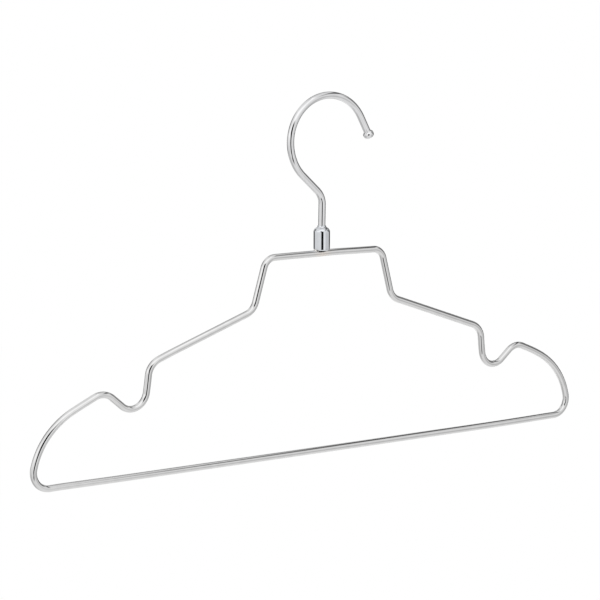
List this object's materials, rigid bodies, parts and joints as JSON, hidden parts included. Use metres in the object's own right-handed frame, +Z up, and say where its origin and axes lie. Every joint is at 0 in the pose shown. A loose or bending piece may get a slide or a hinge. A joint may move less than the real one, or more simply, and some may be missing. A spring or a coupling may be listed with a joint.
{
  "type": "trouser hanger",
  "caption": "Bright chrome wire hanger with shoulder slopes, strap notches, a straight trouser bar and a swivel hook.",
  "frame": {"origin": "top of the inside of the hook's bow, where the hanger rests on a rail", "axes": "+X along the frame towards the hook's open side, +Y through the frame from front to back, +Z up"},
  "size_m": [0.42, 0.0106, 0.2344],
  "materials": {
    "frame_chrome": "bright chrome plate on drawn steel wire",
    "hook_chrome": "bright chrome plate on drawn steel wire",
    "ferrule_chrome": "bright chrome plate on a turned steel sleeve",
    "weld_chrome": "plated weld metal, slightly matt and warm"
  },
  "bodies": {
    "hook": {"swivel_hook": "hook_chrome"},
    "frame": {"frame_wire": "frame_chrome", "closing_weld": "weld_chrome", "swivel_ferrule": "ferrule_chrome", "ferrule_weld": "weld_chrome"}
  },
  "joints": [
    {"name": "hook_swivel", "type": "hinge", "parent": "hook", "child": "frame", "pos_m": [-0.00377, 0, -0.08766], "axis": [0, 0, 1], "continuous": true}
  ]
}
